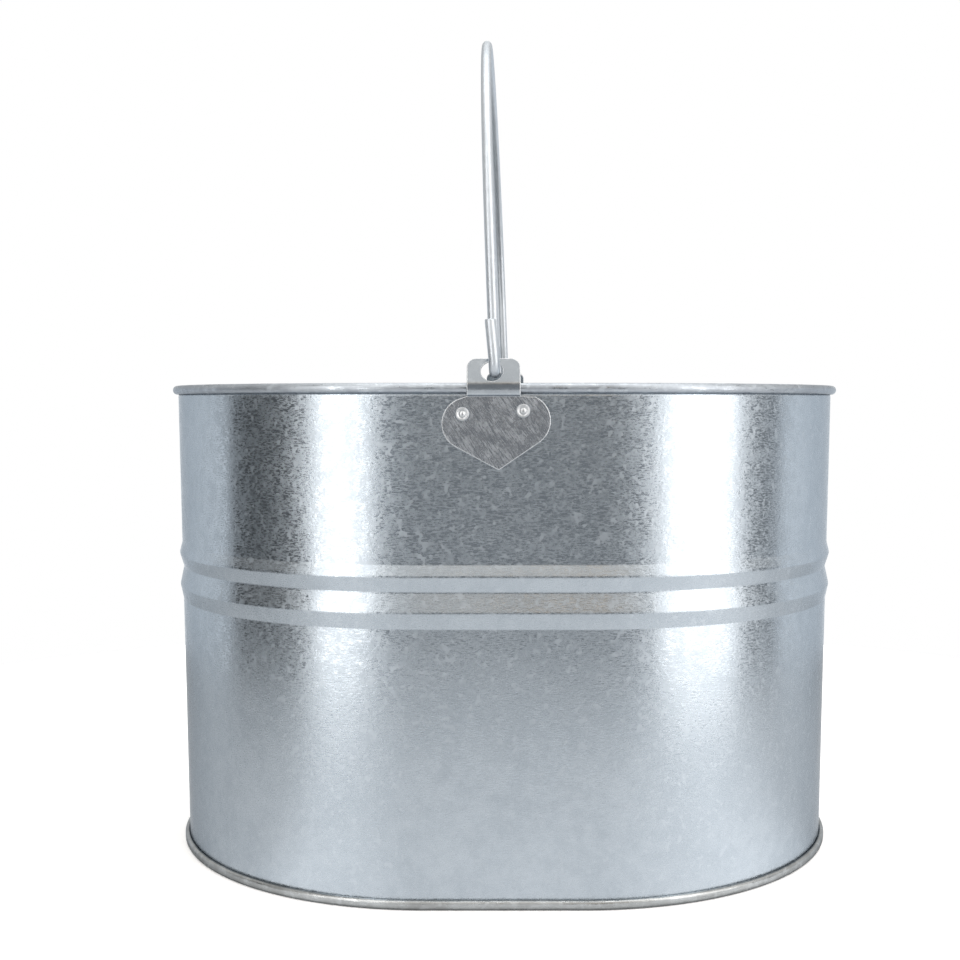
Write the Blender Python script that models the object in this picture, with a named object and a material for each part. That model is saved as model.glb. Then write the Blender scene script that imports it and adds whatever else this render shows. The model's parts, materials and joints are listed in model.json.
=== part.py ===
"""An oval galvanised bucket with a wired rim, a double-seamed foot, two riveted ears and a wire bail.

Metres, +Z up. The floor is z = 0, the long side runs along X, and the near long side faces -Y.
Every sheet section is drawn as a mid-line in (out, z): out is measured from the wall's outer face.
"""

import math

import bmesh
import bpy
from mathutils import Vector

# The wall.
RIM_TOP = 0.2445
HALF_STRAIGHT = 0.037
END_RADIUS = 0.1405
TAPER = 0.014
SHEET = 0.0006
END_STEPS = 22

# The pressed double bead.
UPPER_CREST = 0.1558
LOWER_CREST = 0.1391
BEAD_VALLEY = 0.1485
BEAD_TOP = 0.1613
BEAD_BOTTOM = 0.1315
CREST_OUT = 0.00145
VALLEY_IN = -0.0007
BEAD_STEPS = 3

# The wired edge: a curl of sheet round a steel wire.
ROLL_RADIUS = 0.0023
ROLL_OUT = 0.00045
ROLL_STEPS = 12
RIM_WIRE_RADIUS = 0.0014

# The foot seam, and the panel above the floor.
SEAM_GAP = 0.00025
FOOT_HEIGHT = 0.0047
PANEL_Z = 0.0043
BEND = 0.0005

# The lock seam that closes the sheet, on the far side of the +X end.
LOCK_ANGLE = math.radians(20)
LOCK_WIDTH = 0.006
LOCK_RISE = 0.0009

# The ears.
CLEARANCE = 0.0003
EAR_SHEET = 0.0010
EAR_X = {"front": -0.0049, "rear": 0.0004}
TAB_WIDTH = 0.0243
TAB_TOP = 0.0109
TAB_CORNER = 0.0045
TAB_LEAN = math.radians(30)
HOLE_RADIUS = 0.0050
HOLE_X = -0.0008
HOLE_Z = 0.0051
PLATE_LOBE = 0.0120
PLATE_LOBE_X = 0.0128
PLATE_LOBE_DROP = 0.0118
PLATE_TIP_DROP = 0.0337
PLATE_TILT = math.radians(3)
PLATE_SHIFT = 0.0005

# The rivets.
RIVET_SPREAD = 0.0276
RIVET_SHIFT = -0.0013
RIVET_DROP = 0.0073
SHANK_RADIUS = 0.0017
HEAD_RADIUS = 0.0033
CLENCH_RADIUS = 0.0029

# The bail.
BAIL_WIRE = 0.0025
PIVOT_X = {"front": -0.0044, "rear": 0.0004}
PIVOT_RISE = 0.0046
HOOK_RADIUS = 0.0058
HOOK_OUT = 0.0005
BAIL_HEIGHT = 0.1776
BAIL_LEAN = math.radians(-2.15)
STUB_LENGTH = 0.018
STUB_SPLAY = math.radians(-3.2)


def clear_scene():
    for obj in list(bpy.data.objects):
        bpy.data.objects.remove(obj, do_unlink=True)


def metal(name, colour, roughness):
    material = bpy.data.materials.new(name)
    material.use_nodes = True
    shader = material.node_tree.nodes["Principled BSDF"]
    shader.inputs["Base Color"].default_value = (*colour, 1.0)
    shader.inputs["Roughness"].default_value = roughness
    shader.inputs["Metallic"].default_value = 1.0
    material.diffuse_color = (*colour, 1.0)
    return material


def add_object(name, data, material):
    data.materials.append(material)
    obj = bpy.data.objects.new(name, data)
    bpy.context.scene.collection.objects.link(obj)
    return obj


def mesh_object(name, points, faces, material):
    mesh = bpy.data.meshes.new(name)
    mesh.from_pydata(points, [], faces)
    edit = bmesh.new()
    edit.from_mesh(mesh)
    bmesh.ops.recalc_face_normals(edit, faces=edit.faces)
    edit.to_mesh(mesh)
    edit.free()
    return add_object(name, mesh, material)


def end_radius(z):
    """The outer radius of the wall's round ends at this height."""
    return END_RADIUS - TAPER * (RIM_TOP - z)


def arc(centre, radius, start, end, steps):
    """Points round an arc, both ends included; the angles are in degrees."""
    angles = [math.radians(start + (end - start) * i / steps) for i in range(steps + 1)]
    return [(centre[0] + radius * math.cos(a), centre[1] + radius * math.sin(a)) for a in angles]


def offset_line(line, distance):
    """A polyline moved to its left by this distance, mitred at each bend."""
    moved = []
    for i, point in enumerate(line):
        before = Vector(point) - Vector(line[i - 1]) if i else None
        after = Vector(line[i + 1]) - Vector(point) if i + 1 < len(line) else None
        first = (before or after).normalized()
        second = (after or before).normalized()
        normal = Vector((-first.y - second.y, first.x + second.x)).normalized()
        reach = distance / normal.dot(Vector((-first.y, first.x)))
        moved.append((point[0] + normal.x * reach, point[1] + normal.y * reach))
    return moved


def sheet_section(line, thickness):
    """The closed outline of a sheet whose mid-line is this polyline."""
    return offset_line(line, thickness / 2) + offset_line(line, -thickness / 2)[::-1]


def plan_stations():
    """Points round the stadium plan, each as (centre x, direction of the outward normal)."""
    half = [math.pi * (i / END_STEPS - 0.5) for i in range(END_STEPS + 1)]
    lock = [LOCK_ANGLE + side * LOCK_WIDTH / END_RADIUS for side in (-0.6, -0.5, 0.5, 0.6)]
    near = [a for a in half if lock[0] - 0.02 > a or a > lock[-1] + 0.02]
    right = [(HALF_STRAIGHT, a) for a in sorted(near + lock)]
    left = [(-HALF_STRAIGHT, a + math.pi) for a in half]
    return right + left


def on_lock(angle):
    return abs(angle - LOCK_ANGLE) < 0.55 * LOCK_WIDTH / END_RADIUS


def sweep(name, section, material, closed=True, lock_rows=()):
    """Takes a section round the plan. An open section is capped with a flat face at each end."""
    stations = plan_stations()
    points = []
    for centre, angle in stations:
        for row, (out, z) in enumerate(section):
            rise = LOCK_RISE if row in lock_rows and on_lock(angle) else 0
            reach = end_radius(z) + out + rise
            points.append((centre + reach * math.cos(angle), reach * math.sin(angle), z))
    rows = len(section)
    count = len(stations)
    faces = []
    for i in range(count):
        here = i * rows
        there = (i + 1) % count * rows
        for row in range(rows if closed else rows - 1):
            up = (row + 1) % rows
            faces.append((here + row, there + row, there + up, here + up))
    if not closed:
        faces.append([i * rows for i in range(count)])
        faces.append([i * rows + rows - 1 for i in range(count)])
    return mesh_object(name, points, faces, material)


def ease(start, end, steps):
    """Points from one (out, z) to the next along a half cosine, the first one left out."""
    points = []
    for i in range(1, steps + 1):
        share = i / steps
        swell = 0.5 - 0.5 * math.cos(math.pi * share)
        points.append((start[0] + (end[0] - start[0]) * swell, start[1] + (end[1] - start[1]) * share))
    return points


def roll_centre():
    return (ROLL_OUT, RIM_TOP - ROLL_RADIUS)


def wall_line():
    """The wall's mid-line: foot hook, straight wall, double bead, and the curl at the rim."""
    mid = -SHEET / 2
    hook_out = 2 * SEAM_GAP + 1.5 * SHEET
    low = SHEET + SEAM_GAP + SHEET / 2
    line = [(hook_out, FOOT_HEIGHT - SHEET - SEAM_GAP)]
    line += arc((hook_out - BEND, low + BEND), BEND, 0, -90, 2)
    line += arc((mid + BEND, low + BEND), BEND, -90, -180, 2)
    knots = [(mid, BEAD_BOTTOM), (mid + CREST_OUT, LOWER_CREST), (mid + VALLEY_IN, BEAD_VALLEY)]
    knots += [(mid + CREST_OUT, UPPER_CREST), (mid, BEAD_TOP)]
    line.append(knots[0])
    for start, end in zip(knots, knots[1:]):
        line += ease(start, end, BEAD_STEPS)
    centre = roll_centre()
    radius = ROLL_RADIUS - SHEET / 2
    curl = arc(centre, radius, 205, -104, ROLL_STEPS)
    lead = (curl[0][0] - mid) / math.sin(math.radians(205))
    line.append((mid, curl[0][1] - lead * -math.cos(math.radians(205))))
    return line + curl


def pan_line():
    """The pan's mid-line: from the panel down inside the wall, under it and round its hook."""
    inside = -SHEET - SEAM_GAP - SHEET / 2
    outside = 3 * SEAM_GAP + 2.5 * SHEET
    tucked = SEAM_GAP + SHEET / 2
    low = SHEET / 2
    top = FOOT_HEIGHT - SHEET / 2
    wide = 2 * BEND
    line = arc((inside - wide, PANEL_Z - wide), wide, 90, 0, 2)
    line += arc((inside + BEND, low + BEND), BEND, 180, 270, 2)
    line += arc((outside - BEND, low + BEND), BEND, -90, 0, 2)
    line += arc((outside - BEND, top - BEND), BEND, 0, 90, 2)
    line += arc((tucked + BEND, top - BEND), BEND, 90, 180, 2)
    line.append((tucked, 0.0019))
    return line


def ear_line():
    """The ear's mid-line from tip to tab: plate, sharp jog out under the roll, bulge, leaning tab."""
    flat = CLEARANCE + EAR_SHEET / 2
    bends = [(0, -45), (0, -6.05), (0.18, -5.65), (0.6, -5.47), (1.7, -5.3), (2.35, -4.95)]
    bends += [(2.62, -4.3), (2.88, -2.8), (2.98, -1.2), (2.9, 0.1), (2.56, 1.6)]
    line = [(flat + out * 0.001, RIM_TOP + z * 0.001) for out, z in bends]
    length = (RIM_TOP + TAB_TOP - line[-1][1]) / math.cos(TAB_LEAN)
    line.append((line[-1][0] - length * math.sin(TAB_LEAN), RIM_TOP + TAB_TOP))
    return line


EAR_LINE = ear_line()
TAB_FOOT = 1


def ear_lengths():
    """The developed length at each bend of the ear, from zero at the top of its plate."""
    lengths = [0.0]
    for start, end in zip(EAR_LINE, EAR_LINE[1:]):
        lengths.append(lengths[-1] + math.dist(start, end))
    return [length - lengths[TAB_FOOT] for length in lengths]


def plate_turn(x, drop):
    """A point of the plate's drawing, turned by the plate's tilt about the foot of the tab."""
    x += PLATE_SHIFT
    return (
        x * math.cos(PLATE_TILT) + drop * math.sin(PLATE_TILT),
        x * math.sin(PLATE_TILT) - drop * math.cos(PLATE_TILT),
    )


def ear_outline():
    """The flat blank's edge as (x, developed length), anticlockwise from the tip."""
    reach = math.hypot(PLATE_LOBE_X, PLATE_TIP_DROP - PLATE_LOBE_DROP)
    aim = math.atan2(PLATE_TIP_DROP - PLATE_LOBE_DROP, PLATE_LOBE_X)
    flank = math.degrees(aim - math.asin(PLATE_LOBE / reach)) - 90
    lobe = arc((PLATE_LOBE_X, -PLATE_LOBE_DROP), PLATE_LOBE, flank, 80, 10)
    right = [plate_turn(x, -y) for x, y in lobe]
    left = [plate_turn(-x, -y) for x, y in lobe[::-1]]
    half = TAB_WIDTH / 2
    top = ear_lengths()[-1]
    corner = TAB_CORNER
    shoulder = [(half, 0.0005)] + arc((half - corner, top - corner), corner, 0, 90, 4)
    other = arc((corner - half, top - corner), corner, 90, 180, 4) + [(-half, 0.0001)]
    return [plate_turn(0, PLATE_TIP_DROP)] + right + shoulder + other + left


def rivet_places():
    """The two rivet holes of an ear as (x, developed length), left one first."""
    drop = RIVET_DROP
    return [plate_turn(side * RIVET_SPREAD / 2 + RIVET_SHIFT, drop) for side in (-1, 1)]


def hole_length():
    lengths = ear_lengths()
    share = (RIM_TOP + HOLE_Z - EAR_LINE[-2][1]) / (EAR_LINE[-1][1] - EAR_LINE[-2][1])
    return lengths[-2] + share * (lengths[-1] - lengths[-2])


def on_ear(length, lift):
    """(out, z) at this developed length, lifted off the mid-line by this much."""
    lengths = ear_lengths()
    lifted = offset_line(EAR_LINE, -lift)
    for i in range(len(lengths) - 1):
        if length <= lengths[i + 1] + 1e-7 or i == len(lengths) - 2:
            share = (length - lengths[i]) / (lengths[i + 1] - lengths[i])
            out = lifted[i][0] + share * (lifted[i + 1][0] - lifted[i][0])
            return (out, lifted[i][1] + share * (lifted[i + 1][1] - lifted[i][1]))


def add_loop(edit, points):
    ring = [edit.verts.new((x, y, 0)) for x, y in points]
    for i, vert in enumerate(ring):
        edit.edges.new((vert, ring[(i + 1) % len(ring)]))


def ear(name, side, x_centre, material):
    """Cuts the flat blank along its bend lines, then bends it to shape and gives it thickness."""
    blank = bmesh.new()
    add_loop(blank, ear_outline())
    add_loop(blank, arc((HOLE_X, hole_length()), HOLE_RADIUS, 0, 337.5, 15))
    for place in rivet_places():
        add_loop(blank, arc(place, SHANK_RADIUS + CLEARANCE, 0, 330, 11))
    bmesh.ops.triangle_fill(blank, edges=blank.edges, use_beauty=True)
    for length in ear_lengths()[1:-1]:
        everything = blank.verts[:] + blank.edges[:] + blank.faces[:]
        bmesh.ops.bisect_plane(
            blank, geom=everything, dist=1e-7, plane_co=(0, length, 0), plane_no=(0, 1, 0)
        )
    bmesh.ops.triangulate(blank, faces=blank.faces)
    blank.verts.index_update()
    points = []
    for lift in (EAR_SHEET / 2, -EAR_SHEET / 2):
        for vert in blank.verts:
            out, z = on_ear(vert.co.y, lift)
            points.append((x_centre - side * vert.co.x, side * (end_radius(z) + out), z))
    count = len(blank.verts)
    faces = []
    for face in blank.faces:
        corners = [vert.index for vert in face.verts]
        faces.append(corners)
        faces.append([index + count for index in reversed(corners)])
    for edge in blank.edges:
        if edge.is_boundary:
            first, second = (vert.index for vert in edge.verts)
            faces.append((first, second, second + count, first + count))
    blank.free()
    return mesh_object(name, points, faces, material)


def turned(name, profile, x, side, base, z, steps, material):
    """A solid of revolution about a line along Y; the profile is (radius, out), from tip to tip."""
    points = []
    for radius, out in profile[1:-1]:
        for i in range(steps):
            angle = 2 * math.pi * i / steps
            points.append((x + radius * math.cos(angle), side * (base + out), z + radius * math.sin(angle)))
    rings = len(profile) - 2
    first = len(points)
    points.append((x, side * (base + profile[0][1]), z))
    points.append((x, side * (base + profile[-1][1]), z))
    faces = []
    for i in range(steps):
        along = (i + 1) % steps
        for ring in range(rings - 1):
            a = ring * steps
            b = a + steps
            faces.append((a + i, a + along, b + along, b + i))
        last = (rings - 1) * steps
        faces.append((first, along, i))
        faces.append((first + 1, last + i, last + along))
    return mesh_object(name, points, faces, material)


def rivet_profile():
    """Head outside the plate, shank through both sheets, clenched end inside the wall."""
    seat = 2 * CLEARANCE + EAR_SHEET
    back = -SHEET - CLEARANCE
    head = [(0, seat + 0.0015), (0.0010, seat + 0.0014), (0.0017, seat + 0.0008)]
    head += [(0.0024, seat + 0.0012), (HEAD_RADIUS - 0.0003, seat + 0.0007), (HEAD_RADIUS, seat)]
    tail = [(CLENCH_RADIUS, back), (CLENCH_RADIUS - 0.0004, back - 0.0008), (0, back - 0.0012)]
    return head + [(SHANK_RADIUS, seat), (SHANK_RADIUS, back)] + tail


def rivet_position(x_centre, side, place):
    z = on_ear(place[1], 0)[1]
    return (x_centre - side * place[0], end_radius(z), z)


def drill_wall(wall, places):
    """Cuts the rivet holes through the wall."""
    steps = 12
    hole = SHANK_RADIUS + CLEARANCE
    for i, (x, base, z, side) in enumerate(places):
        cutter = turned(
            f"cutter_{i}",
            [(0, -0.004), (hole, -0.004), (hole, 0.004), (0, 0.004)],
            x, side, base, z, steps, wall.data.materials[0],
        )
        cutter.hide_render = True
        cutter.display_type = "WIRE"
        cut = wall.modifiers.new(f"rivet_hole_{i}", "BOOLEAN")
        cut.operation = "DIFFERENCE"
        cut.solver = "EXACT"
        cut.object = cutter


def wire(name, points, radius, cyclic, material):
    """A round wire through these points."""
    curve = bpy.data.curves.new(name, "CURVE")
    curve.dimensions = "3D"
    curve.bevel_depth = radius
    curve.bevel_resolution = 2
    curve.use_fill_caps = not cyclic
    spline = curve.splines.new("POLY")
    spline.points.add(len(points) - 1)
    for point, place in zip(spline.points, points):
        point.co = (*place, 1.0)
    spline.use_cyclic_u = cyclic
    return add_object(name, curve, material)


def pivot(end):
    """Where the bail's axis passes through an ear."""
    side = {"front": -1, "rear": 1}[end]
    z = RIM_TOP + PIVOT_RISE
    return Vector((PIVOT_X[end], side * (end_radius(z) + HOOK_OUT), z))


def bail_points():
    """The bent wire from stub to stub, in the bail's own frame: its axis is Y, and Z is up the legs."""
    reach = (pivot("rear") - pivot("front")).length / 2
    leg = reach - HOOK_RADIUS
    straight = BAIL_HEIGHT - leg
    # Half of the wire, from the top of the arch to the stub's end, as (distance out, height).
    half = arc((0, straight), leg, 90, 0, 20)
    half += arc((reach, HOOK_RADIUS), HOOK_RADIUS, 180, 360, 8)
    rear = [Vector((0, out, z)) for out, z in half]
    foot = rear[-1]
    lean = Vector((math.sin(STUB_SPLAY), 0, math.cos(STUB_SPLAY)))
    rear.append(foot + lean * STUB_LENGTH)
    front = [Vector((point.x, -point.y, point.z)) for point in rear]
    return front[::-1] + rear[1:]


def bail(material):
    """The bail, with its origin on its axis midway between the ears."""
    near = pivot("front")
    far = pivot("rear")
    handle = wire("bail_handle", bail_points(), BAIL_WIRE, False, material)
    handle.location = (near + far) / 2
    along = far - near
    handle.rotation_mode = "XYZ"
    handle.rotation_euler = (0, BAIL_LEAN, math.atan2(-along.x, along.y))
    return handle


def rim_wire(material):
    out, z = roll_centre()
    reach = end_radius(z) + out
    points = [
        (centre + reach * math.cos(angle), reach * math.sin(angle), z)
        for centre, angle in plan_stations()
        if not on_lock(angle)
    ]
    return wire("rim_wire", points, RIM_WIRE_RADIUS, True, material)


def main():
    clear_scene()
    zinc = metal("galvanised_sheet", (0.62, 0.66, 0.69), 0.34)
    pan_zinc = metal("galvanised_pan", (0.58, 0.62, 0.65), 0.38)
    core = metal("steel_wire", (0.50, 0.52, 0.54), 0.45)
    ear_zinc = metal("ear_steel", (0.48, 0.51, 0.54), 0.32)
    rivet_zinc = metal("rivet_steel", (0.72, 0.74, 0.76), 0.25)
    bail_zinc = metal("bail_wire", (0.66, 0.69, 0.72), 0.28)

    line = wall_line()
    section = sheet_section(line, SHEET)
    # Drawn from the foot up, the right-hand side of the mid-line is the wall's outer face.
    outer = range(len(line), 2 * len(line))
    lock_rows = [row for row in outer if 0.006 < section[row][1] < RIM_TOP - 0.0065]
    wall = sweep("body_wall", section, zinc, lock_rows=lock_rows)
    pan = pan_line()
    sides = offset_line(pan, SHEET / 2) + offset_line(pan, -SHEET / 2)[::-1]
    sweep("bottom_pan", sides, pan_zinc, closed=False)
    rim_wire(core)

    drilled = []
    for end, side in (("front", -1), ("rear", 1)):
        ear(f"{end}_ear", side, EAR_X[end], ear_zinc)
        for name, place in zip(("left", "right"), rivet_places()):
            x, base, z = rivet_position(EAR_X[end], side, place)
            turned(f"{end}_rivet_{name}", rivet_profile(), x, side, base, z, 16, rivet_zinc)
            drilled.append((x, base, z, side))
    drill_wall(wall, drilled)
    bail(bail_zinc)


main()
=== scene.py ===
"""The looks of an oval galvanised bucket: sheet wall, foot ring, riveted ears and a wire bail.

Metres, +Z up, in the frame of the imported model. The near long side faces -Y. Sheet sections are drawn
as mid-lines in (out, z), where out is measured from the wall's outer face.
"""

import json
import math

import bpy
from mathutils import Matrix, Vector


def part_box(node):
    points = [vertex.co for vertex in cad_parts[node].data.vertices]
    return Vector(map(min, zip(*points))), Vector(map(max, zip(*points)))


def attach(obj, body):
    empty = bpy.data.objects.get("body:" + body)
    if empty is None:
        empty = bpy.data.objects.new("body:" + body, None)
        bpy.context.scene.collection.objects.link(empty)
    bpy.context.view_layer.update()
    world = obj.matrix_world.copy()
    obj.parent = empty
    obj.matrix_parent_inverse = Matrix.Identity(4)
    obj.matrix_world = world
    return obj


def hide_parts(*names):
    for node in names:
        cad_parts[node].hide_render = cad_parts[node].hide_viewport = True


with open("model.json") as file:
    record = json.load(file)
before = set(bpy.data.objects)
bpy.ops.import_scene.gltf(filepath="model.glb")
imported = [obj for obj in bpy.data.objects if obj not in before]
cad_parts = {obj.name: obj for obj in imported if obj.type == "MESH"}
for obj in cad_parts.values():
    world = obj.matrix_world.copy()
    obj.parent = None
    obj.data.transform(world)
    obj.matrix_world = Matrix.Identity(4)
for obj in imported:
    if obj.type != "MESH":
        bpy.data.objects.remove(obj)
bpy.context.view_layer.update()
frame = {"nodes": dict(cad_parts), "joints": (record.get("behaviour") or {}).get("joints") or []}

# ---------------------------------------------------------------- sizes
MM = 0.001
wall_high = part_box("body_wall")[1]
pan_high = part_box("bottom_pan")[1]
RIM_TOP = wall_high[2]
HALF_STRAIGHT = wall_high[0] - wall_high[1]
SHEET = 0.6 * MM
TAPER = 0.014
ROLL_RADIUS = 2.3 * MM
ROLL_OUT = 0.45 * MM
END_RADIUS = wall_high[1] - ROLL_OUT - ROLL_RADIUS + TAPER * ROLL_RADIUS

# The double bead pressed round the wall: two crests with a valley between them.
UPPER_CREST = 155.8 * MM
LOWER_CREST = 139.1 * MM
BEAD_VALLEY = 148.5 * MM
BEAD_TOP = 161.3 * MM
BEAD_BOTTOM = 131.5 * MM
CREST_OUT = 1.45 * MM
VALLEY_IN = -0.7 * MM

# The foot seam: the pan's edge folded round the wall's hook.
SEAM_GAP = 0.25 * MM
FOOT_HEIGHT = 4.7 * MM
PANEL_Z = 4.3 * MM
FOLD = 0.5 * MM

# The lock seam down the far side of the +X end.
LOCK_ANGLE = math.radians(20)
LOCK_WIDTH = 6 * MM
LOCK_RISE = 0.9 * MM

# The ears, pressed from 1 mm sheet. Heights are above the rim, drops are below the top of the plate.
EAR_SHEET = 1.0 * MM
CLEARANCE = 0.3 * MM
EAR_X = {"front": -4.9 * MM, "rear": 0.4 * MM}
TAB_WIDTH = 24.3 * MM
TAB_TOP = 10.9 * MM
TAB_CORNER = 4.5 * MM
TAB_LEAN = math.radians(30)
HOLE_RADIUS = 5.0 * MM
HOLE_X = -0.8 * MM
HOLE_Z = 5.1 * MM
LOBE = 12.0 * MM
LOBE_X = 12.8 * MM
LOBE_DROP = 11.8 * MM
TIP_DROP = 33.7 * MM
PLATE_TILT = math.radians(3)
PLATE_SHIFT = 0.5 * MM

# The rivets.
RIVET_SPREAD = 27.6 * MM
RIVET_SHIFT = -1.3 * MM
RIVET_DROP = 7.3 * MM
SHANK_RADIUS = 1.7 * MM
HEAD_RADIUS = 3.3 * MM
CLENCH_RADIUS = 2.9 * MM

# The bail: its axis comes from the model's joint.
swing = frame["joints"][0]
BAIL_MIDDLE = Vector(swing["pos_m"])
BAIL_SKEW = math.atan2(-swing["axis"][0], swing["axis"][1])
BAIL_WIRE = 2.5 * MM
HOOK_RADIUS = 5.8 * MM
HOOK_OUT = 0.5 * MM
HOOK_REACH = (END_RADIUS + TAPER * (BAIL_MIDDLE.z - RIM_TOP) + HOOK_OUT) / math.cos(BAIL_SKEW)
BAIL_HEIGHT = 177.6 * MM
BAIL_LEAN = math.radians(-2.15)
STUB_LENGTH = 18 * MM
STUB_SPLAY = math.radians(-3.2)


# ---------------------------------------------------------------- shaping
def end_radius(z):
    """The outer radius of the wall's round ends at this height."""
    return END_RADIUS - TAPER * (RIM_TOP - z)


def arc(centre, radius, start, end, steps):
    """Points round an arc, both ends included; the angles are in degrees."""
    angles = [math.radians(start + (end - start) * i / steps) for i in range(steps + 1)]
    return [(centre[0] + radius * math.cos(a), centre[1] + radius * math.sin(a)) for a in angles]


def rounded(knots, radius, steps=5):
    """A line through these corners, each one rounded to this radius."""
    line = [knots[0]]
    for before, corner, after in zip(knots, knots[1:], knots[2:]):
        corner = Vector(corner)
        back = (Vector(before) - corner).normalized()
        ahead = (Vector(after) - corner).normalized()
        half = back.angle(ahead) / 2
        start = corner + back * radius / math.tan(half)
        end = corner + ahead * radius / math.tan(half)
        for i in range(steps + 1):
            t = i / steps
            line.append(tuple(start * (1 - t) ** 2 + corner * 2 * t * (1 - t) + end * t * t))
    line.append(knots[-1])
    return line


def pick(obj):
    """Leaves object mode ready to work on this piece alone."""
    if bpy.context.mode != "OBJECT":
        bpy.ops.object.mode_set(mode="OBJECT")
    bpy.ops.object.select_all(action="DESELECT")
    if obj:
        bpy.context.view_layer.objects.active = obj
        obj.select_set(True)


def select_where(obj, test, kind="VERT"):
    """Opens the piece in edit mode with the vertices, edges or faces that pass the test selected."""
    pick(obj)
    mesh = obj.data
    for item in (*mesh.vertices, *mesh.edges, *mesh.polygons):
        item.select = False
    if kind == "FACE":
        for face in mesh.polygons:
            face.select = test(face.center, face.normal)
    else:
        for vert in mesh.vertices:
            vert.select = test(vert.co)
    bpy.context.tool_settings.mesh_select_mode = (kind == "VERT", kind == "EDGE", kind == "FACE")
    bpy.ops.object.mode_set(mode="EDIT")


def draw_line(name, points):
    """Draws a line of edges: one vertex, extruded from point to point."""
    pick(None)
    bpy.ops.mesh.primitive_plane_add(size=MM)
    line = bpy.context.object
    line.name = name
    bpy.ops.object.mode_set(mode="EDIT")
    bpy.ops.mesh.select_mode(type="VERT")
    bpy.ops.mesh.select_all(action="SELECT")
    bpy.ops.mesh.merge(type="CENTER")
    bpy.ops.transform.translate(value=points[0])
    for start, end in zip(points, points[1:]):
        step = Vector(end) - Vector(start)
        bpy.ops.mesh.extrude_region_move(TRANSFORM_OT_translate={"value": step})
    return line


def extrude(*step):
    bpy.ops.mesh.extrude_region_move(TRANSFORM_OT_translate={"value": step})


def spin(centre, axis, angle, steps):
    """Spins the selection by the right-hand rule; with no window the operator turns the other way."""
    bpy.ops.mesh.spin(steps=steps, angle=-angle, center=centre, axis=axis)


def turn(axis, angle, centre):
    """Turns the selection by the right-hand rule about a world axis."""
    bpy.ops.transform.rotate(value=-angle, orient_axis=axis, center_override=centre)


def apply(obj, kind, **values):
    """Adds a modifier with these values and applies it."""
    pick(obj)
    modifier = obj.modifiers.new(kind.lower(), kind)
    for key, value in values.items():
        setattr(modifier, key, value)
    bpy.ops.object.modifier_apply(modifier=modifier.name)


def close_up(obj, merge=0.002 * MM):
    """Merges doubled points and turns every face outwards."""
    pick(obj)
    bpy.ops.object.mode_set(mode="EDIT")
    bpy.ops.mesh.select_all(action="SELECT")
    bpy.ops.mesh.remove_doubles(threshold=merge)
    bpy.ops.mesh.normals_make_consistent(inside=False)
    bpy.ops.object.mode_set(mode="OBJECT")


def finish_piece(obj, material, body, node, smooth=35):
    """Gives a piece its smoothing, finish and body, and hides the model node it stands for."""
    pick(obj)
    bpy.ops.object.shade_smooth_by_angle(angle=math.radians(smooth))
    if material:
        obj.data.materials.clear()
        obj.data.materials.append(material)
    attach(obj, body)
    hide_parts(node)


def give_faces(obj, material, test):
    """Gives the faces that pass the test a finish of their own."""
    obj.data.materials.append(material)
    select_where(obj, test, "FACE")
    obj.active_material_index = len(obj.data.materials) - 1
    bpy.ops.object.material_slot_assign()
    bpy.ops.object.mode_set(mode="OBJECT")


def sweep_plan(name, section):
    """Takes a section, drawn at the near long side, all the way round the stadium plan."""
    sheet = draw_line(name, [(HALF_STRAIGHT, -(end_radius(z) + out), z) for out, z in section])
    bpy.ops.mesh.select_all(action="SELECT")
    for side in (1, -1):
        spin((side * HALF_STRAIGHT, 0, 0), (0, 0, 1), math.pi, 88)
        for _ in range(6):
            extrude(-side * HALF_STRAIGHT / 3, 0, 0)
    close_up(sheet)
    return sheet


# ---------------------------------------------------------------- the sheet wall
def roll_centre():
    return (ROLL_OUT, RIM_TOP - ROLL_RADIUS)


def wall_line():
    """The wall's mid-line: foot hook, straight wall, double bead, and the curl at the rim."""
    mid = -SHEET / 2
    hook_out = 2 * SEAM_GAP + 1.5 * SHEET
    low = SHEET + SEAM_GAP + SHEET / 2
    line = [(hook_out, FOOT_HEIGHT - SHEET - SEAM_GAP)]
    line += arc((hook_out - FOLD, low + FOLD), FOLD, 0, -90, 4)
    line += arc((mid + FOLD, low + FOLD), FOLD, -90, -180, 4)
    line += [(mid, z * MM) for z in (8, 30, 60, 90, 120)]
    bead = [(mid, 126 * MM), (mid, BEAD_BOTTOM), (mid + CREST_OUT, LOWER_CREST)]
    bead += [(mid + VALLEY_IN, BEAD_VALLEY), (mid + CREST_OUT, UPPER_CREST), (mid, BEAD_TOP)]
    line += rounded(bead + [(mid, 168 * MM)], 3 * MM)
    line += [(mid, z * MM) for z in (185, 205, 225)]
    curl = arc(roll_centre(), ROLL_RADIUS - SHEET / 2, 205, -104, 28)
    lead = (mid - curl[0][0]) / math.sin(math.radians(25))
    jog = (mid, curl[0][1] - lead * math.cos(math.radians(25)))
    line += rounded([(mid, RIM_TOP - 9 * MM), jog, curl[0]], 3 * MM)[:-1]
    return line + curl


def lock_bearing(point):
    """How far round the +X end a point lies from the middle of the lock seam, along the wall."""
    return (math.atan2(point.y, point.x - HALF_STRAIGHT) - LOCK_ANGLE) * END_RADIUS


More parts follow.
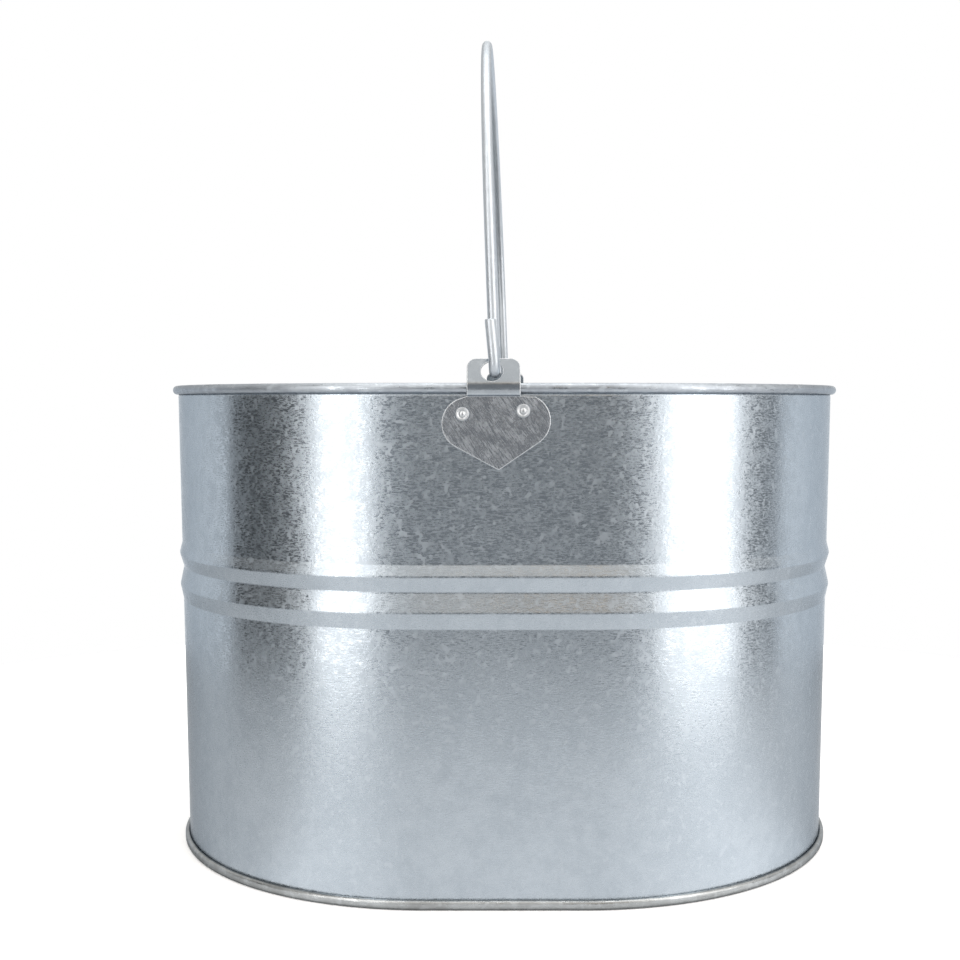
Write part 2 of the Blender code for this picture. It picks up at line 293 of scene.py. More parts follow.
def raise_lock_seam(wall):
    """Raises the band where the sheet's two edges are locked together."""
    half = LOCK_WIDTH / 2
    for offset in (-half - 0.5 * MM, -half, half, half + 0.5 * MM):
        select_where(wall, lambda p, n: p.x > 2 * HALF_STRAIGHT and abs(lock_bearing(p)) < 8 * MM, "FACE")
        angle = LOCK_ANGLE + offset / END_RADIUS
        normal = (-math.sin(angle), math.cos(angle), 0)
        bpy.ops.mesh.bisect(plane_co=(HALF_STRAIGHT, 0, 0), plane_no=normal, threshold=0.0001 * MM)

    def in_band(p):
        along = p.x > 2 * HALF_STRAIGHT and abs(lock_bearing(p)) < half + 0.2 * MM
        return along and 7 * MM < p.z < RIM_TOP - 7 * MM

    select_where(wall, in_band)
    grow = 1 + LOCK_RISE / END_RADIUS
    bpy.ops.transform.resize(value=(grow, grow, 1), center_override=(HALF_STRAIGHT, 0, 0))


def make_wall(material, roll_material):
    wall = sweep_plan("wall_sheet", wall_line())
    raise_lock_seam(wall)
    apply(wall, "SOLIDIFY", thickness=SHEET, offset=0, use_even_offset=True)
    wall.data.materials.clear()
    wall.data.materials.append(material)
    give_faces(wall, roll_material, lambda p, n: p.z > RIM_TOP - 2 * ROLL_RADIUS)
    finish_piece(wall, None, "bucket", "body_wall", smooth=50)


# ---------------------------------------------------------------- the foot ring and bottom
def pan_line():
    """The pan's mid-line: from the panel down inside the wall, under it and round its hook."""
    inside = -SHEET - SEAM_GAP - SHEET / 2
    outside = 3 * SEAM_GAP + 2.5 * SHEET
    tucked = SEAM_GAP + SHEET / 2
    low = SHEET / 2
    top = FOOT_HEIGHT - SHEET / 2
    bold = 1.25 * MM
    line = arc((inside - 2 * FOLD, PANEL_Z - 2 * FOLD), 2 * FOLD, 90, 0, 5)
    line += arc((inside + FOLD, low + FOLD), FOLD, 180, 270, 4)
    line += arc((outside - bold, low + bold), bold, -90, 0, 8)
    line += arc((outside - bold, top - bold), bold, 0, 90, 8)
    line += arc((tucked + 0.6 * FOLD, top - 0.6 * FOLD), 0.6 * FOLD, 90, 180, 4)
    line.append((tucked, 1.9 * MM))
    return line


def make_pan(material):
    line = pan_line()
    pan = sweep_plan("foot_and_bottom", line)
    edge = end_radius(line[0][1]) + line[0][0]

    def on_panel_edge(p):
        reach = math.hypot(max(abs(p.x) - HALF_STRAIGHT, 0), p.y)
        return abs(p.z - line[0][1]) < 0.01 * MM and abs(reach - edge) < 0.05 * MM

    select_where(pan, on_panel_edge)
    bpy.ops.mesh.edge_face_add()
    close_up(pan)
    apply(pan, "SOLIDIFY", thickness=SHEET, offset=0, use_even_offset=True)
    finish_piece(pan, material, "bucket", "bottom_pan", smooth=50)


# ---------------------------------------------------------------- the ears and rivets
def ear_line():
    """The ear's mid-line, from tip to tab: plate, sharp jog out under the roll, bulge, leaning tab."""
    flat = CLEARANCE + EAR_SHEET / 2
    bends = [(0, -45), (0, -6.05), (0.18, -5.65), (0.6, -5.47), (1.7, -5.3), (2.3, -4.98)]
    bends += [(2.5, -4.4), (2.85, -3.1), (3.05, -1.9), (3.08, -0.9), (2.98, 0.2), (2.6, 1.5)]
    line = [(flat + out * MM, RIM_TOP + z * MM) for out, z in bends]
    length = (RIM_TOP + TAB_TOP - line[-1][1]) / math.cos(TAB_LEAN)
    line.append((line[-1][0] - length * math.sin(TAB_LEAN), RIM_TOP + TAB_TOP))
    return line


def ear_lengths():
    """The developed length at each bend of the ear, from zero at the top of its plate."""
    line = ear_line()
    lengths = [0.0]
    for start, end in zip(line, line[1:]):
        lengths.append(lengths[-1] + math.dist(start, end))
    return [length - lengths[1] for length in lengths]


def plate_turn(x, drop):
    """A point of the plate's drawing, turned by the plate's tilt about the foot of the tab."""
    x += PLATE_SHIFT
    return (
        x * math.cos(PLATE_TILT) + drop * math.sin(PLATE_TILT),
        x * math.sin(PLATE_TILT) - drop * math.cos(PLATE_TILT),
    )


def ear_outline():
    """The flat blank's edge as (x, developed length), anticlockwise from the tip."""
    reach = math.hypot(LOBE_X, TIP_DROP - LOBE_DROP)
    aim = math.atan2(TIP_DROP - LOBE_DROP, LOBE_X)
    flank = math.degrees(aim - math.asin(LOBE / reach)) - 90
    lobe = arc((LOBE_X, -LOBE_DROP), LOBE, flank, 80, 26)
    right = [plate_turn(x, -y) for x, y in lobe]
    right = [(x, min(length, -0.15 * MM)) for x, length in right]
    left = [plate_turn(-x, -y) for x, y in lobe[::-1]]
    half = TAB_WIDTH / 2
    top = ear_lengths()[-1]
    corner = TAB_CORNER
    shoulder = [(half, 0.5 * MM)] + arc((half - corner, top - corner), corner, 0, 90, 10)
    other = arc((corner - half, top - corner), corner, 90, 180, 10) + [(-half, 0.1 * MM)]
    tip = [plate_turn(side * 0.5 * MM, TIP_DROP - 0.35 * MM) for side in (1, -1)]
    return [tip[0]] + right + shoulder + other + left + [tip[1]]


def rivet_places():
    """The two rivet holes of an ear as (x, developed length), left one first."""
    return [plate_turn(side * RIVET_SPREAD / 2 + RIVET_SHIFT, RIVET_DROP) for side in (-1, 1)]


def plate_rise():
    """What turns a developed length on the flat plate into a height."""
    return ear_line()[1][1] - ear_lengths()[1]


def hole_length():
    line = ear_line()
    lengths = ear_lengths()
    share = (RIM_TOP + HOLE_Z - line[-2][1]) / (line[-1][1] - line[-2][1])
    return lengths[-2] + share * (lengths[-1] - lengths[-2])


def punch(blank, x, z, radius):
    """Cuts a round hole through the flat blank."""
    pick(None)
    bpy.ops.mesh.primitive_cylinder_add(
        vertices=48, radius=radius, depth=20 * MM, location=(x, 0, z), rotation=(math.pi / 2, 0, 0)
    )
    drill = bpy.context.object
    bpy.ops.object.transform_apply(location=True, rotation=True, scale=True)
    apply(blank, "BOOLEAN", object=drill, operation="DIFFERENCE", solver="EXACT")
    bpy.data.objects.remove(drill, do_unlink=True)


def ear_bends():
    """The bend lines as (developed length, turn): each corner of the mid-line, shared by three lines."""
    line = ear_line()
    lengths = ear_lengths()
    bends = []
    for i in range(1, len(line) - 1):
        before = Vector(line[i]) - Vector(line[i - 1])
        after = Vector(line[i + 1]) - Vector(line[i])
        bend = math.atan2(after.y, after.x) - math.atan2(before.y, before.x)
        spread = min(0.3 * before.length, 0.3 * after.length, 0.4 * MM)
        bends += [(lengths[i] + share * spread, bend / 3) for share in (-1, 0, 1)]
    return bends


def fit_to_side(obj, end):
    """Carries a piece made at the middle of the near side to its ear's place."""
    pick(obj)
    bpy.ops.object.mode_set(mode="EDIT")
    bpy.ops.mesh.select_all(action="SELECT")
    if end == "rear":
        turn("Z", math.pi, (0, 0, 0))
    bpy.ops.transform.translate(value=(EAR_X[end], 0, 0))
    bpy.ops.object.mode_set(mode="OBJECT")


def make_ear(end, material, tab_material, cut_edge_highlight_material):
    """Cuts the blank flat, punches it, bends it line by line from the tab down, and fits it on."""
    outline = [(x, 0, length) for x, length in ear_outline()]
    ear = draw_line(f"{end}_ear_pressing", outline + outline[:1])
    bpy.ops.mesh.select_all(action="SELECT")
    bpy.ops.mesh.remove_doubles(threshold=0.001 * MM)
    bpy.ops.mesh.edge_face_add()
    apply(ear, "SOLIDIFY", thickness=EAR_SHEET, offset=0)
    punch(ear, HOLE_X, hole_length(), HOLE_RADIUS)
    for x, length in rivet_places():
        punch(ear, x, length, SHANK_RADIUS + CLEARANCE)
    ear.data.materials.clear()
    ear.data.materials.append(material)
    # The cut edges, and the rounding the bevel adds to every edge, take the lighter zinc: bare cut edge with a
    # painted edge highlight.
    give_faces(ear, cut_edge_highlight_material, lambda p, n: abs(n.y) < 0.5)
    apply(ear, "BEVEL", width=0.32 * MM, segments=3, limit_method="ANGLE",
          angle_limit=math.radians(60), material=1)
    bends = ear_bends()[::-1]
    for length, bend in bends:
        select_where(ear, lambda p: True)
        bpy.ops.mesh.bisect(plane_co=(0, 0, length), plane_no=(0, 0, 1), threshold=0.0001 * MM)
    pick(ear)
    give_faces(ear, tab_material, lambda p, n: p.z > 0.2 * MM and abs(n.y) > 0.99)
    flat = [vert.co.z for vert in ear.data.vertices]
    for length, bend in bends:
        rows = iter(flat)
        select_where(ear, lambda p: next(rows) > length + 0.001 * MM)
        turn("X", -bend, (0, 0, length))
    select_where(ear, lambda p: True)
    bpy.ops.transform.translate(value=(0, -(END_RADIUS + ear_line()[0][0]), plate_rise()))
    turn("X", math.atan(TAPER), (0, -END_RADIUS, RIM_TOP))
    fit_to_side(ear, end)
    finish_piece(ear, None, "bucket", f"{end}_ear")
    apply(ear, "WEIGHTED_NORMAL", keep_sharp=True)


def rivet_line():
    """The rivet's half outline as (radius, out): ringed head, shank and clenched end."""
    seat = 2 * CLEARANCE + EAR_SHEET
    back = -SHEET - CLEARANCE
    head = [(0, 1.55), (0.5, 1.52), (1.0, 1.36), (1.4, 1.02), (1.65, 0.8), (1.9, 0.86), (2.15, 1.12)]
    head += [(2.5, 1.26), (2.85, 1.18), (3.1, 0.92), (3.25, 0.5), (3.3, 0.15), (3.25, 0)]
    tail = [(0, 0), (2.8, 0), (2.9, -0.15), (2.85, -0.5), (2.4, -0.9), (1.5, -1.12), (0, -1.2)]
    line = [(radius * MM, seat + out * MM) for radius, out in head]
    line += [(SHANK_RADIUS, seat), (SHANK_RADIUS, back)]
    return line + [(radius * MM, back + out * MM) for radius, out in tail[1:]]


def make_rivet(end, side, place, material):
    x, length = place
    z = length + plate_rise()
    points = [(x + radius, -(end_radius(z) + out), z) for radius, out in rivet_line()]
    rivet = draw_line(f"{end}_rivet_{side}_set", points)
    bpy.ops.mesh.select_all(action="SELECT")
    spin((x, 0, z), (0, 1, 0), 2 * math.pi, 40)
    close_up(rivet)
    fit_to_side(rivet, end)
    finish_piece(rivet, material, "bucket", f"{end}_rivet_{side}", smooth=45)


# ---------------------------------------------------------------- the bail
def cap_end(obj, test):
    select_where(obj, test)
    bpy.ops.mesh.edge_face_add()


def make_bail(material):
    """Bends one round wire: stub, hook, leg, arch, leg, hook, stub; then hangs it on its axis."""
    leg = HOOK_REACH - HOOK_RADIUS
    straight = BAIL_HEIGHT - leg
    stub = (STUB_LENGTH * math.sin(STUB_SPLAY), 0, STUB_LENGTH * math.cos(STUB_SPLAY))
    pick(None)
    bpy.ops.mesh.primitive_circle_add(vertices=28, radius=BAIL_WIRE, fill_type="NOTHING")
    bail = bpy.context.object
    bail.name = "bail_bent_wire"
    bpy.ops.object.mode_set(mode="EDIT")
    bpy.ops.mesh.select_all(action="SELECT")
    bpy.ops.transform.translate(value=(stub[0], -HOOK_REACH - HOOK_RADIUS, HOOK_RADIUS + stub[2]))
    extrude(-stub[0], 0, -stub[2])
    spin((0, -HOOK_REACH, HOOK_RADIUS), (1, 0, 0), math.pi, 20)
    extrude(0, 0, straight - HOOK_RADIUS)
    spin((0, 0, straight), (1, 0, 0), -math.pi, 110)
    extrude(0, 0, HOOK_RADIUS - straight)
    spin((0, HOOK_REACH, HOOK_RADIUS), (1, 0, 0), math.pi, 20)
    extrude(*stub)
    top = HOOK_RADIUS + stub[2]
    for side in (-1, 1):
        end_y = side * (HOOK_REACH + HOOK_RADIUS)
        cap_end(bail, lambda p: abs(p.z - top) < 0.01 * MM and abs(p.y - end_y) < 1.1 * BAIL_WIRE)
    close_up(bail)
    apply(bail, "BEVEL", width=0.45 * MM, segments=2, limit_method="ANGLE", angle_limit=math.radians(60))
    select_where(bail, lambda p: True)
    turn("Y", BAIL_LEAN, (0, 0, 0))
    turn("Z", BAIL_SKEW, (0, 0, 0))
    bpy.ops.transform.translate(value=BAIL_MIDDLE)
    bpy.ops.object.mode_set(mode="OBJECT")
    finish_piece(bail, material, "bail", "bail_handle", smooth=45)


# ---------------------------------------------------------------- finishes
def add_node(tree, kind, label="", **values):
    node = tree.nodes.new(kind)
    node.label = label
    for key, value in values.items():
        if key in node.inputs:
            node.inputs[key].default_value = value
        else:
            setattr(node, key, value)
    return node


def new_group(name, inputs, outputs):
    """An empty shader node group with these sockets, each given as {name: type or (type, default)}."""
    group = bpy.data.node_groups.new(name, "ShaderNodeTree")
    for socket, kind in inputs.items():
        kind, default = kind if isinstance(kind, tuple) else (kind, None)
        made = group.interface.new_socket(socket, in_out="INPUT", socket_type=kind)
        if default is not None:
            made.default_value = default
    for socket, kind in outputs.items():
        group.interface.new_socket(socket, in_out="OUTPUT", socket_type=kind)
    return group, group.nodes.new("NodeGroupInput"), group.nodes.new("NodeGroupOutput")


def math_node(tree, operation, first, second=0.0):
    """A Math node; each operand is a number or a socket."""
    node = tree.nodes.new("ShaderNodeMath")
    node.operation = operation
    for socket, value in zip(node.inputs, (first, second)):
        if isinstance(value, (int, float)):
            socket.default_value = value
        else:
            tree.links.new(value, socket)
    return node.outputs[0]


def noise(tree, place, scale, detail, roughness=0.5):
    """A Noise texture; the scale is a number or a socket."""
    node = add_node(tree, "ShaderNodeTexNoise", Detail=detail, Roughness=roughness)
    tree.links.new(place, node.inputs["Vector"])
    if isinstance(scale, (int, float)):
        node.inputs["Scale"].default_value = scale
    else:
        tree.links.new(scale, node.inputs["Scale"])
    return node.outputs["Fac"]


def mask(tree, value, low, high):
    """Fades a value from 0 at low to 1 at high."""
    node = add_node(tree, "ShaderNodeMapRange", interpolation_type="SMOOTHSTEP")
    node.inputs["From Min"].default_value = low
    node.inputs["From Max"].default_value = high
    tree.links.new(value, node.inputs["Value"])
    return node.outputs[0]


def scaled(tree, place, factors):
    """The place stretched along each axis by three numbers or a socket."""
    node = tree.nodes.new("ShaderNodeVectorMath")
    node.operation = "MULTIPLY"
    tree.links.new(place, node.inputs[0])
    if isinstance(factors, tuple):
        node.inputs[1].default_value = factors
    else:
        tree.links.new(factors, node.inputs[1])
    return node.outputs[0]


def zinc_relief_group():
    """The skin of galvanised sheet, in millimetres: spangle, dashes left by the rolls, slow waves.

    Mirror marks where the dashes are, and Spangle gives each patch of crystals its own value.
    """
    inputs = {"Place": "NodeSocketVector", "Dash Shape": "NodeSocketVector"}
    for socket in ("Spangle Height", "Dash Height", "Wave Height"):
        inputs[socket] = "NodeSocketFloat"
    outputs = {"Height": "NodeSocketFloat", "Mirror": "NodeSocketFloat", "Spangle": "NodeSocketFloat"}
    group, given, out = new_group("zinc_relief", inputs, outputs)
    place = given.outputs["Place"]
    crystals = noise(group, place, 420, 3, 0.62)
    patches = noise(group, place, 150, 3, 0.6)
    dashes = noise(group, scaled(group, place, given.outputs["Dash Shape"]), 440, 3, 0.6)
    grains = noise(group, scaled(group, place, (1, 1, 2)), 800, 2, 0.6)
    waves = noise(group, scaled(group, place, (1, 1, 0.6)), 24, 1)
    bare = mask(group, patches, 0.36, 0.58)
    dash = mask(group, dashes, 0.42, 0.64)
    grain = mask(group, grains, 0.34, 0.66)
    flake = mask(group, noise(group, place, 320, 1), 0.58, 0.72)
    cut = math_node(group, "MULTIPLY", dash, math_node(group, "ADD", math_node(group, "MULTIPLY", bare, 0.75), 0.15))
    cut = math_node(group, "ADD", cut, math_node(group, "MULTIPLY", grain, 0.35))
    cut = math_node(group, "MULTIPLY", cut, math_node(group, "SUBTRACT", 1.0, flake))
    shade = math_node(group, "ADD", patches, math_node(group, "MULTIPLY", flake, 0.35))
    height = math_node(group, "MULTIPLY", crystals, given.outputs["Spangle Height"])
    height = math_node(group, "SUBTRACT", height, math_node(group, "MULTIPLY", dash, given.outputs["Dash Height"]))
    height = math_node(group, "ADD", height, math_node(group, "MULTIPLY", waves, given.outputs["Wave Height"]))
    group.links.new(height, out.inputs["Height"])
    group.links.new(cut, out.inputs["Mirror"])
    group.links.new(shade, out.inputs["Spangle"])
    return group


def zinc_tone_group():
    """Zinc's colour and gloss: slightly duller crystals, brighter bare dashes, and soft clouds."""
    inputs = {
        "Place": "NodeSocketVector",
        "Mirror": "NodeSocketFloat",
        "Spangle": "NodeSocketFloat",
        "Dark": "NodeSocketColor",
        "Light": "NodeSocketColor",
        "Glossy": "NodeSocketFloat",
        "Satin": "NodeSocketFloat",
    }
    outputs = {"Colour": "NodeSocketColor", "Roughness": "NodeSocketFloat"}
    group, given, out = new_group("zinc_tone", inputs, outputs)
    clouds = noise(group, given.outputs["Place"], 30, 4, 0.6)
    blend = math_node(group, "ADD", math_node(group, "MULTIPLY", given.outputs["Spangle"], 0.5),
                      math_node(group, "MULTIPLY", clouds, 0.5))
    mix = add_node(group, "ShaderNodeMix", "tone", data_type="RGBA")
    group.links.new(mask(group, blend, 0.3, 0.7), mix.inputs[0])
    group.links.new(given.outputs["Dark"], mix.inputs[6])
    group.links.new(given.outputs["Light"], mix.inputs[7])
    group.links.new(mix.outputs[2], out.inputs["Colour"])
    gloss = add_node(group, "ShaderNodeMix", "gloss", data_type="FLOAT")
    group.links.new(given.outputs["Mirror"], gloss.inputs[0])
    group.links.new(given.outputs["Satin"], gloss.inputs[2])
    group.links.new(given.outputs["Glossy"], gloss.inputs[3])
    group.links.new(gloss.outputs[0], out.inputs["Roughness"])
    return group


def zinc(name, groups, relief, tone, grain=0.0):
    """A zinc finish: the two groups with this piece's own values. Grain turns the dashes, in degrees."""
    material = bpy.data.materials.new(name)
    material.use_nodes = True
    tree = material.node_tree
    shader = tree.nodes["Principled BSDF"]
    shader.inputs["Metallic"].default_value = 1.0
    shader.inputs["Specular Tint"].default_value = (0.5, 0.52, 0.54, 1)
    turned = add_node(tree, "ShaderNodeMapping", Rotation=(0, math.radians(grain), 0))
    tree.links.new(add_node(tree, "ShaderNodeTexCoord").outputs["Object"], turned.inputs["Vector"])
    place = turned.outputs[0]
    skin = add_node(tree, "ShaderNodeGroup", node_tree=groups[0])
    look = add_node(tree, "ShaderNodeGroup", node_tree=groups[1])
    for node, values in ((skin, relief), (look, tone)):
        tree.links.new(place, node.inputs["Place"])
        for socket, value in values.items():
            node.inputs[socket].default_value = value
    for socket in ("Mirror", "Spangle"):
        tree.links.new(skin.outputs[socket], look.inputs[socket])
    bump = add_node(tree, "ShaderNodeBump", Strength=1.0, Distance=MM)
    tree.links.new(skin.outputs["Height"], bump.inputs["Height"])
    tree.links.new(bump.outputs["Normal"], shader.inputs["Normal"])
    tree.links.new(look.outputs["Colour"], shader.inputs["Base Color"])
    tree.links.new(look.outputs["Roughness"], shader.inputs["Roughness"])
    return material


# ---------------------------------------------------------------- studio
def make_floor():
    """A round white floor; the sheet reflects it a little brighter in front of each soft light. What reflections see
    is a glow with painted light, fading outwards, and a painted contact shadow round the foot.
    """
    pick(None)
    bpy.ops.mesh.primitive_circle_add(vertices=128, radius=FLOOR_RADIUS, fill_type="NGON", location=(0, 0, 0))
    floor = bpy.context.object
    floor.name = "studio_floor"
    material = bpy.data.materials.new("white_floor")
    material.use_nodes = True
    tree = material.node_tree
    shader = tree.nodes["Principled BSDF"]
    shader.inputs["Base Color"].default_value = (0.9, 0.9, 0.9, 1)
    shader.inputs["Roughness"].default_value = 0.9
    shader.inputs["Emission Color"].default_value = (1, 1, 1, 1)
    shader.inputs["Emission Strength"].default_value = 0.25
    place = tree.nodes.new("ShaderNodeSeparateXYZ")
    tree.links.new(add_node(tree, "ShaderNodeTexCoord").outputs["Object"], place.inputs[0])
    glow = add_node(tree, "ShaderNodeEmission", Strength=BRIGHTEST)
    bearing = bearing_of(tree, place.outputs[0], place.outputs[1])
    around = room_ramp(tree, FLOOR_SHINE, (1, 1, 1), bearing)
    reach = tree.nodes.new("ShaderNodeVectorMath")
    reach.operation = "LENGTH"
    tree.links.new(place.inputs[0].links[0].from_socket, reach.inputs[0])
    # Painted falloff of light: the reflected glow dims from 1.12 near the bucket to 0.9 further out.
    fade = add_node(tree, "ShaderNodeMapRange", "fade outwards")
    fade.inputs["From Min"].default_value = 0.2
    fade.inputs["From Max"].default_value = 0.55
    fade.inputs["To Min"].default_value = 1.12
    fade.inputs["To Max"].default_value = 0.9
    tree.links.new(reach.outputs["Value"], fade.inputs["Value"])
    # Painted contact shadow: the reflected glow drops to 0.15 at the foot and clears 9 mm out.
    past_x = math_node(tree, "SUBTRACT", math_node(tree, "ABSOLUTE", place.outputs[0]), HALF_STRAIGHT)
    past_x = math_node(tree, "MAXIMUM", past_x, 0.0)
    off = math_node(tree, "ADD", math_node(tree, "MULTIPLY", past_x, past_x),
                    math_node(tree, "MULTIPLY", place.outputs[1], place.outputs[1]))
    edge = END_RADIUS - TAPER * RIM_TOP
    painted_contact_shadow = mask(tree, math_node(tree, "SQRT", off), edge, edge + 9 * MM)
    painted_contact_shadow = math_node(tree, "ADD", math_node(tree, "MULTIPLY", painted_contact_shadow, 0.85), 0.15)
    tinted = tree.nodes.new("ShaderNodeVectorMath")
    tinted.operation = "SCALE"
    tree.links.new(around, tinted.inputs[0])
    tree.links.new(math_node(tree, "MULTIPLY", fade.outputs[0], painted_contact_shadow), tinted.inputs["Scale"])
    tree.links.new(tinted.outputs[0], glow.inputs["Color"])
    choose = tree.nodes.new("ShaderNodeMixShader")
    tree.links.new(add_node(tree, "ShaderNodeLightPath").outputs["Is Camera Ray"], choose.inputs[0])
    tree.links.new(glow.outputs[0], choose.inputs[1])
    tree.links.new(shader.outputs[0], choose.inputs[2])
    tree.links.new(choose.outputs[0], tree.nodes["Material Output"].inputs["Surface"])
    floor.data.materials.append(material)


FLOOR_RADIUS = 0.64

# What the polished sheet sees round the room: (degrees from the -Y side, towards +X positive; brightness).
ROOM_LOW = [
    (-180, 1.3), (-150, 1.2), (-125, 1.0), (-99, 0.95), (-96, 0.08), (-58, 0.14), (-53, 0.4), (-50, 3.0), (-29, 3.0), (-26, 0.5),
    (-12, 0.3), (22, 0.27), (32, 0.4), (38, 3.0), (70, 3.0), (74, 0.5), (82, 0.3), (96, 0.3), (99, 1.08), (125, 1.1),
    (150, 1.3), (180, 1.4),
]
ROOM_HIGH = [
    (-180, 0.9), (-99, 0.9), (-96, 0.4), (-55, 0.4), (-51, 3.0), (-28, 3.0), (-24, 0.95), (34, 0.95),
    (38, 3.0), (70, 3.0), (74, 0.8), (96, 0.8), (99, 0.95), (180, 0.95),
]
# Painted light on the reflected floor glow, by degrees from the -Y side: brighter in front of each soft light.
FLOOR_SHINE = [
    (-180, 0.9), (-100, 0.78), (-75, 0.72), (-55, 0.78), (-42, 1.08), (-30, 1.05), (-15, 0.9), (15, 0.95),
    (35, 1.1), (50, 1.25), (65, 1.15), (80, 0.9), (110, 0.97), (180, 0.95),
]
BRIGHTEST = 3.0
LAMP_COLOUR = (0.99, 0.96, 0.93)


def bearing_of(tree, x, y):
    """How far round from the -Y side, towards +X, as 0 to 1 with the -Y side at a half."""
    angle = math_node(tree, "ARCTAN2", x, math_node(tree, "MULTIPLY", y, -1.0))
    return math_node(tree, "ADD", math_node(tree, "DIVIDE", angle, 2 * math.pi), 0.5)


def room_ramp(tree, stops, tint, bearing):
    ramp = tree.nodes.new("ShaderNodeValToRGB")
    elements = ramp.color_ramp.elements
    while len(elements) > 1:
        elements.remove(elements[-1])
    elements[0].position = 0
    for i, (angle, brightness) in enumerate(stops):
        element = elements[0] if i == 0 else elements.new(angle / 360 + 0.5)
        light = LAMP_COLOUR if brightness == BRIGHTEST else tint
        element.color = [brightness / BRIGHTEST * part for part in light] + [1]
    tree.links.new(bearing, ramp.inputs[0])
    return ramp.outputs[0]


def make_room():
    """A studio seen only by reflection: bright behind, two tall soft lights, dim near the viewer."""
    world = bpy.data.worlds.new("studio")
    bpy.context.scene.world = world
    world.use_nodes = True
    tree = world.node_tree
    background = tree.nodes["Background"]
    split = tree.nodes.new("ShaderNodeSeparateXYZ")
    tree.links.new(add_node(tree, "ShaderNodeTexCoord").outputs["Generated"], split.inputs[0])
    x, y, z = split.outputs
    bearing = bearing_of(tree, x, y)
    low = room_ramp(tree, ROOM_LOW, (0.97, 1.0, 1.03), bearing)
    high = room_ramp(tree, ROOM_HIGH, (1.0, 0.975, 0.94), bearing)
    rise = add_node(tree, "ShaderNodeMapRange", "height", interpolation_type="SMOOTHSTEP")
    rise.inputs["From Min"].default_value = math.sin(math.radians(7))
    rise.inputs["From Max"].default_value = math.sin(math.radians(15))
    tree.links.new(z, rise.inputs["Value"])
    mix = add_node(tree, "ShaderNodeMix", data_type="RGBA")
    tree.links.new(rise.outputs[0], mix.inputs[0])
    tree.links.new(low, mix.inputs[6])
    tree.links.new(high, mix.inputs[7])
    band = tree.nodes.new("ShaderNodeValToRGB")
    elements = band.color_ramp.elements
    elements[0].position, elements[0].color = 0.53, (1, 1, 1, 1)
    elements[1].position, elements[1].color = 0.75, (1, 1, 1, 1)
    for height, colour in ((0.58, (0.95, 0.8, 0.68, 1)), (0.63, (1.0, 0.9, 0.8, 1))):
        elements.new(height).color = colour
    tree.links.new(math_node(tree, "ADD", math_node(tree, "MULTIPLY", z, 0.5), 0.5), band.inputs[0])
    past_left = mask(tree, bearing, 0.5 - 8 / 360, 0.5 + 3 / 360)
    past_right = mask(tree, bearing, 0.5 + 17 / 360, 0.5 + 26 / 360)
    tint = add_node(tree, "ShaderNodeMix", "warm wall", data_type="RGBA")
    tree.links.new(math_node(tree, "SUBTRACT", past_left, past_right), tint.inputs[0])
    tint.inputs[6].default_value = (1, 1, 1, 1)
    tree.links.new(band.outputs[0], tint.inputs[7])
    warm = tree.nodes.new("ShaderNodeVectorMath")
    warm.operation = "MULTIPLY"
    tree.links.new(mix.outputs[2], warm.inputs[0])
    tree.links.new(tint.outputs[2], warm.inputs[1])
    tree.links.new(warm.outputs[0], background.inputs["Color"])
    background.inputs["Strength"].default_value = BRIGHTEST
    plain = add_node(tree, "ShaderNodeBackground", Color=(1, 1, 1, 1), Strength=1.0)
    choose = tree.nodes.new("ShaderNodeMixShader")
    tree.links.new(add_node(tree, "ShaderNodeLightPath").outputs["Is Camera Ray"], choose.inputs[0])
    tree.links.new(background.outputs[0], choose.inputs[1])
    tree.links.new(plain.outputs[0], choose.inputs[2])
    tree.links.new(choose.outputs[0], tree.nodes["World Output"].inputs["Surface"])


def make_overhead():
    light = bpy.data.lights.new("overhead_softbox", "AREA")
    light.shape = "SQUARE"
    light.size = 1.4
    light.energy = 9
    light.color = (1.0, 0.985, 0.96)
    lamp = bpy.data.objects.new("overhead_softbox", light)
    lamp.location = (0.1, 0.3, 1.6)
    bpy.context.scene.collection.objects.link(lamp)


def make_camera():
    data = bpy.data.cameras.new("camera")
    data.sensor_width = 36
    data.lens = 51
    data.shift_x = -0.0255
    camera = bpy.data.objects.new("camera", data)
    camera.location = (0, -0.758, 0.235)
    camera.rotation_euler = (math.pi / 2 - 0.056, 0, 0)
    bpy.context.scene.collection.objects.link(camera)
    bpy.context.scene.camera = camera


# ---------------------------------------------------------------- the bucket, put together
make_camera()
make_room()
make_overhead()
make_floor()

groups = (zinc_relief_group(), zinc_tone_group())
SHEET_RELIEF = {"Spangle Height": 0.06, "Dash Height": 0.01, "Wave Height": 0.5, "Dash Shape": (1, 1, 5)}
SMOOTH_RELIEF = {"Spangle Height": 0.03, "Dash Height": 0.003, "Wave Height": 0.1, "Dash Shape": (1, 1, 1)}
ROLL_RELIEF = {"Spangle Height": 0.06, "Dash Height": 0.03, "Wave Height": 1.0, "Dash Shape": (0.25, 0.25, 2.5)}
EAR_RELIEF = {"Spangle Height": 0.04, "Dash Height": 0.02, "Wave Height": 0.5, "Dash Shape": (0.4, 1, 8)}
TAB_RELIEF = {"Spangle Height": 0.03, "Dash Height": 0.003, "Wave Height": 1.2, "Dash Shape": (0.5, 1, 1)}
SHEET_TONE = {"Dark": (0.43, 0.48, 0.53, 1), "Light": (0.49, 0.54, 0.59, 1), "Glossy": 0.09, "Satin": 0.36}
ROLL_TONE = {"Dark": (0.36, 0.39, 0.43, 1), "Light": (0.48, 0.52, 0.56, 1), "Glossy": 0.24, "Satin": 0.52}
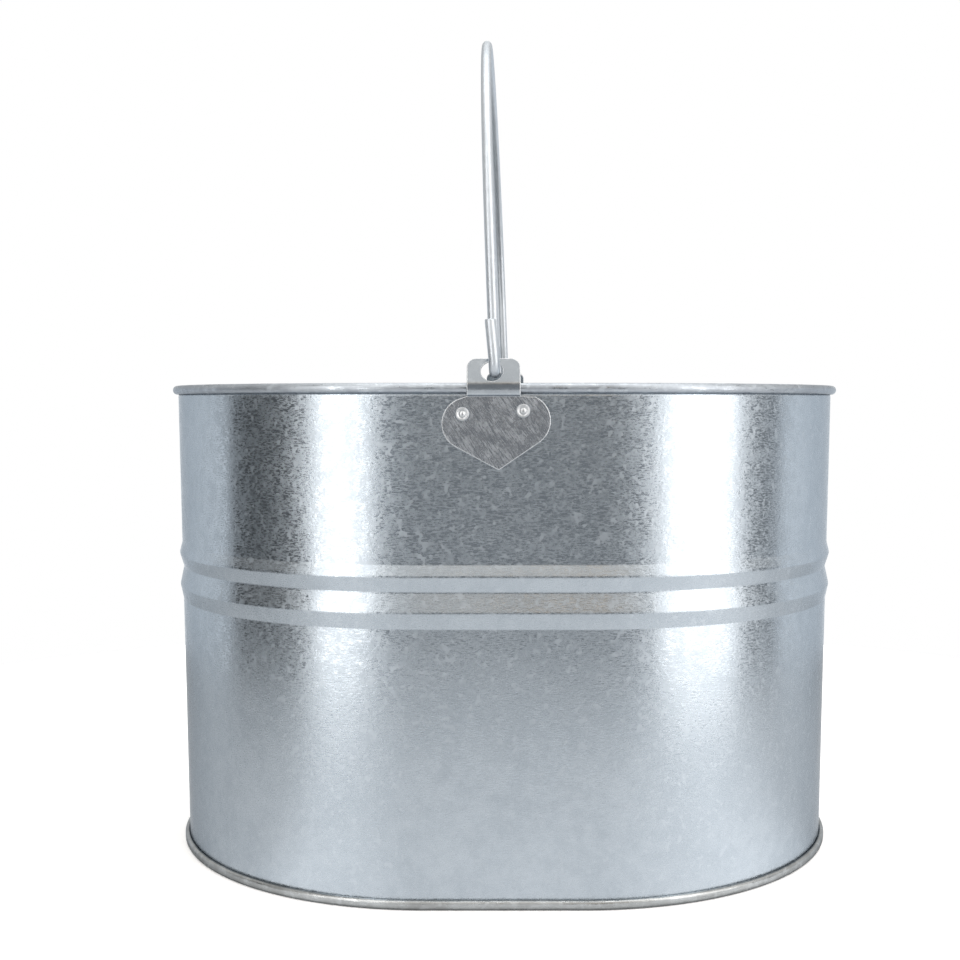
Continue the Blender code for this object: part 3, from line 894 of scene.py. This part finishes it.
FOOT_TONE = {"Dark": (0.33, 0.34, 0.34, 1), "Light": (0.48, 0.5, 0.51, 1), "Glossy": 0.2, "Satin": 0.4}
EAR_TONE = {"Dark": (0.4, 0.43, 0.47, 1), "Light": (0.5, 0.53, 0.57, 1), "Glossy": 0.42, "Satin": 0.18}
TAB_TONE = {"Dark": (0.42, 0.46, 0.5, 1), "Light": (0.49, 0.53, 0.57, 1), "Glossy": 0.12, "Satin": 0.22}
# Cut edges and the ear's rounded edges: bare cut edge, painted much lighter than the faces as a highlight along
# every edge.
CUT_EDGE_HIGHLIGHT_TONE = {"Dark": (0.7, 0.72, 0.74, 1), "Light": (0.8, 0.82, 0.84, 1), "Glossy": 0.4, "Satin": 0.55}
RIVET_TONE = {"Dark": (0.5, 0.52, 0.54, 1), "Light": (0.58, 0.6, 0.62, 1), "Glossy": 0.3, "Satin": 0.4}
WIRE_TONE = {"Dark": (0.54, 0.58, 0.62, 1), "Light": (0.6, 0.64, 0.68, 1), "Glossy": 0.4, "Satin": 0.5}
sheet_zinc = zinc("sheet_zinc", groups, SHEET_RELIEF, SHEET_TONE)
roll_zinc = zinc("roll_zinc", groups, ROLL_RELIEF, ROLL_TONE)
foot_zinc = zinc("foot_zinc", groups, ROLL_RELIEF, FOOT_TONE)
ear_zinc = zinc("ear_zinc", groups, EAR_RELIEF, EAR_TONE, grain=-55)
tab_zinc = zinc("tab_zinc", groups, TAB_RELIEF, TAB_TONE)
cut_edge_highlight_zinc = zinc("cut_edge_highlight_zinc", groups, SMOOTH_RELIEF, CUT_EDGE_HIGHLIGHT_TONE)
rivet_zinc = zinc("rivet_zinc", groups, SMOOTH_RELIEF, RIVET_TONE)
wire_zinc = zinc("wire_zinc", groups, SMOOTH_RELIEF, WIRE_TONE)

make_wall(sheet_zinc, roll_zinc)
make_pan(foot_zinc)
core = frame["nodes"]["rim_wire"]
core.data.materials.clear()
core.data.materials.append(wire_zinc)
for end in EAR_X:
    make_ear(end, ear_zinc, tab_zinc, cut_edge_highlight_zinc)
    for side, place in zip(("left", "right"), rivet_places()):
        make_rivet(end, side, place, rivet_zinc)
make_bail(wire_zinc)
pick(None)

bpy.context.scene.view_settings.view_transform = "Standard"
